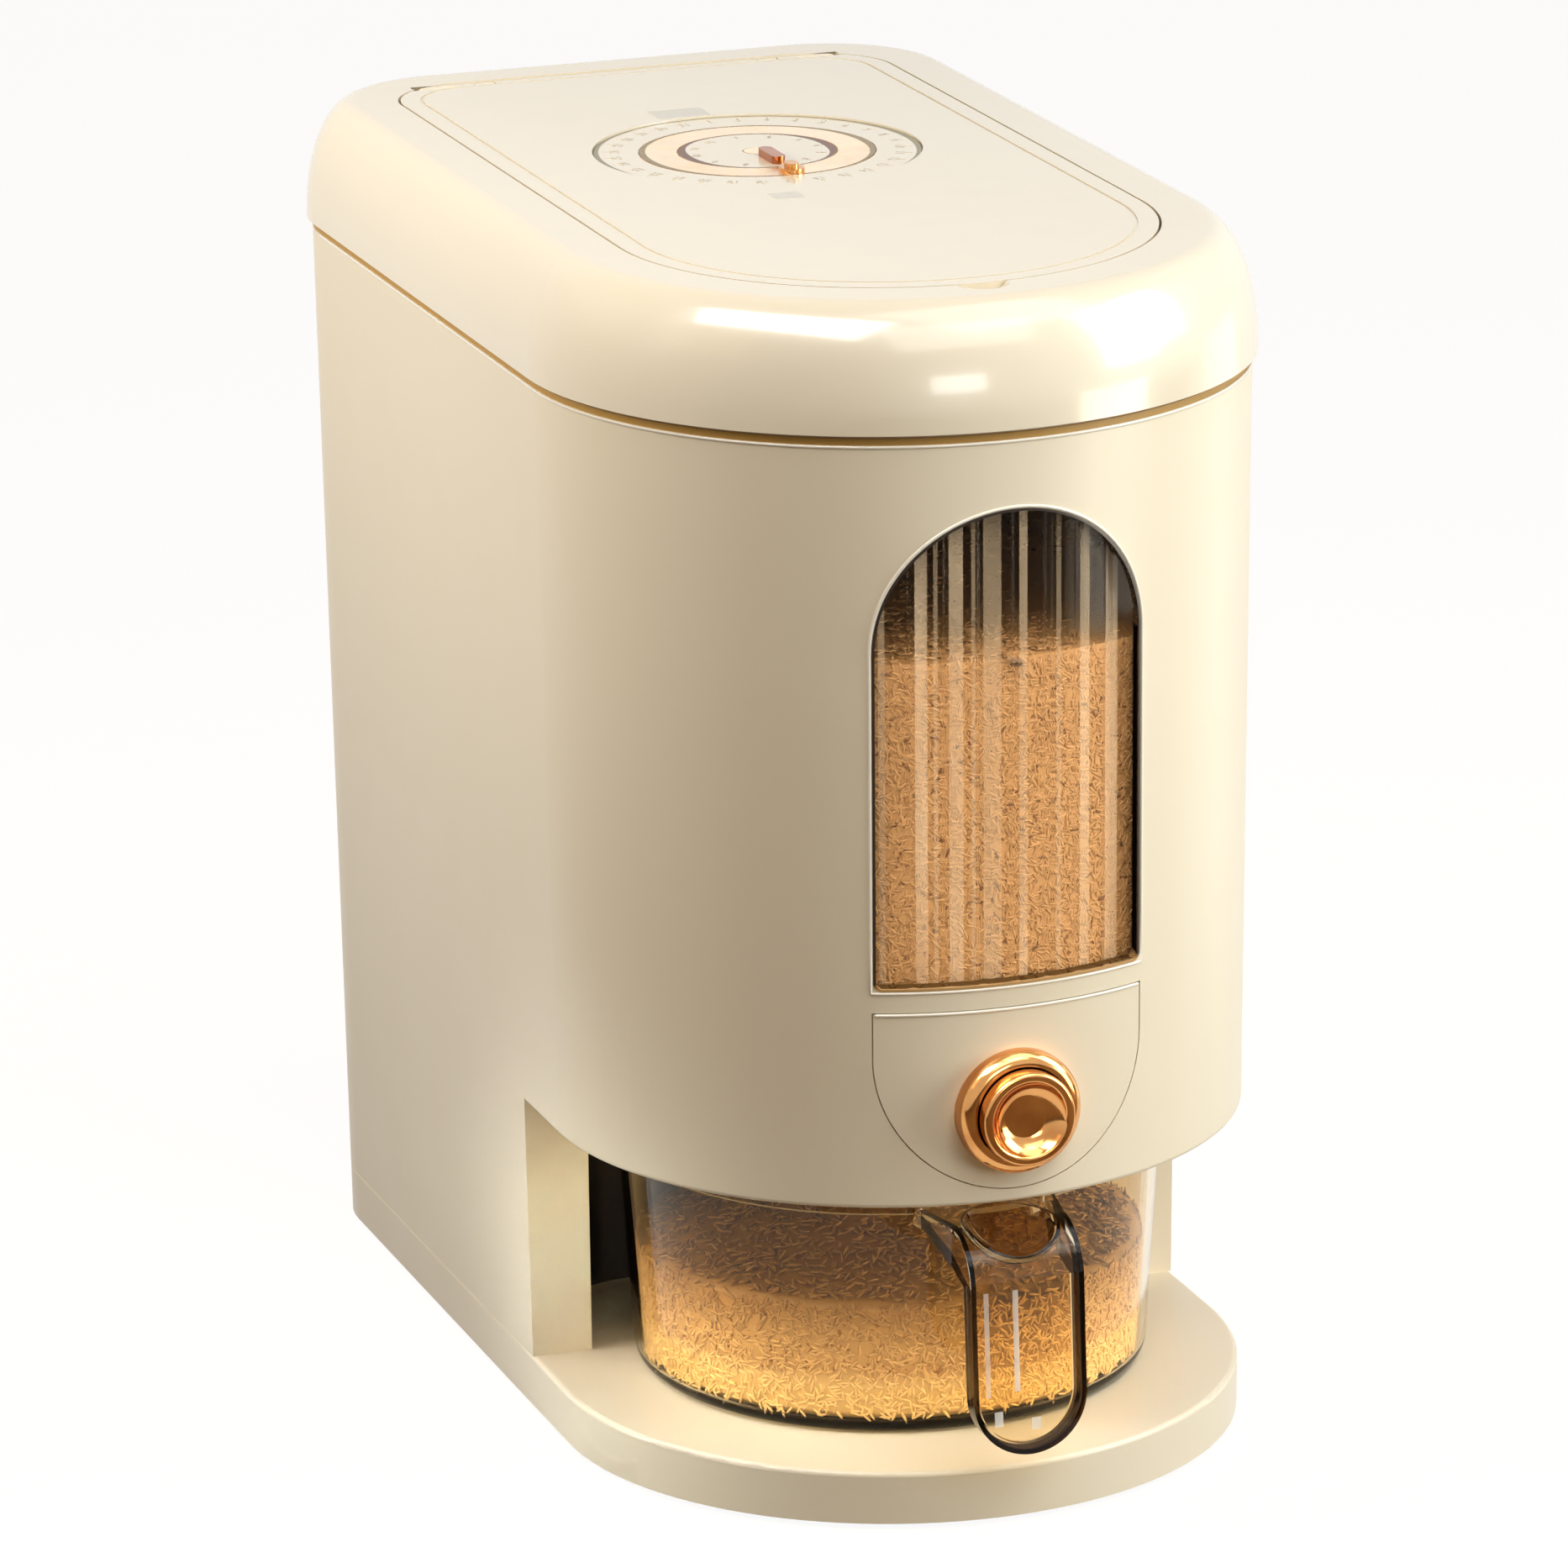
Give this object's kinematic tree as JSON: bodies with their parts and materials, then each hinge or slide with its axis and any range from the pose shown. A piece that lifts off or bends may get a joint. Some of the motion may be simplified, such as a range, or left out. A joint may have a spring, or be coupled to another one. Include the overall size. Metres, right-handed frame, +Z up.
{
  "type": "rice dispenser",
  "caption": "Countertop rice dispenser with a windowed grain tank, a press-button outlet, a flip lid with a date dial and a round cup that slides out of a bay.",
  "frame": {"origin": "middle of the footprint on the floor, under the feet", "axes": "+Z up, the front with the window and the button faces -Y, +X to the right seen from the front"},
  "size_m": [0.2186, 0.3814, 0.3681],
  "materials": {
    "shell": "gloss",
    "inner": "satin",
    "liner": "satin",
    "amber": "clear gloss",
    "copper": "polished, copper coloured",
    "gold": "satin, peach gold",
    "rubber": "matte",
    "seal": "matte",
    "steel": "plain"
  },
  "bodies": {
    "dispenser_body": {"outer_body": "shell", "base_tray": "shell", "rubber_feet": "rubber", "base_screws": "steel", "chamber_liner": "liner", "grain_tank": "inner", "hopper_floor": "inner", "body_seal": "seal", "gate_housing": "inner", "gate_screws": "steel", "outlet_spout": "inner", "window_pane": "amber", "window_gasket": "rubber", "button_panel": "shell", "button_bezel": "copper", "button_housing": "inner", "return_spring": "steel", "lid_frame": "shell", "filling_collar": "shell", "hinge_pins": "steel"},
    "flip_lid": {"flip_lid": "shell", "lid_gasket": "seal", "dial_screw": "copper"},
    "day_ring": {"day_ring": "shell"},
    "pointer_ring": {"pointer_ring": "gold", "pointer_grip": "copper"},
    "month_disc": {"month_disc": "shell", "month_grip": "copper"},
    "press_button": {"press_button": "copper", "push_rod": "inner", "gate_plate": "inner"},
    "measuring_cup": {"measuring_cup": "amber"}
  },
  "joints": [
    {"name": "flip_lid_hinge", "type": "hinge", "parent": "dispenser_body", "child": "flip_lid", "pos_m": [0, 0.159, 0.3634], "axis": [-1, 0, 0], "range_deg": [0, 95]},
    {"name": "day_ring_turn", "type": "hinge", "parent": "flip_lid", "child": "day_ring", "pos_m": [0, 0.0349, 0.3627], "axis": [0, 0, 1], "continuous": true},
    {"name": "pointer_ring_turn", "type": "hinge", "parent": "flip_lid", "child": "pointer_ring", "pos_m": [0, 0.0349, 0.3627], "axis": [0, 0, 1], "continuous": true},
    {"name": "month_disc_turn", "type": "hinge", "parent": "flip_lid", "child": "month_disc", "pos_m": [0, 0.0349, 0.3627], "axis": [0, 0, 1], "continuous": true},
    {"name": "button_slide", "type": "slide", "parent": "dispenser_body", "child": "press_button", "axis": [0, 1, 0], "range_m": [0, 0.009], "stiffness_N_per_m": 250, "springref_m": -0.006, "deforming": ["return_spring"]},
    {"name": "cup_slide", "type": "slide", "parent": "dispenser_body", "child": "measuring_cup", "axis": [0, -1, 0], "range_m": [0, 0.19]}
  ]
}
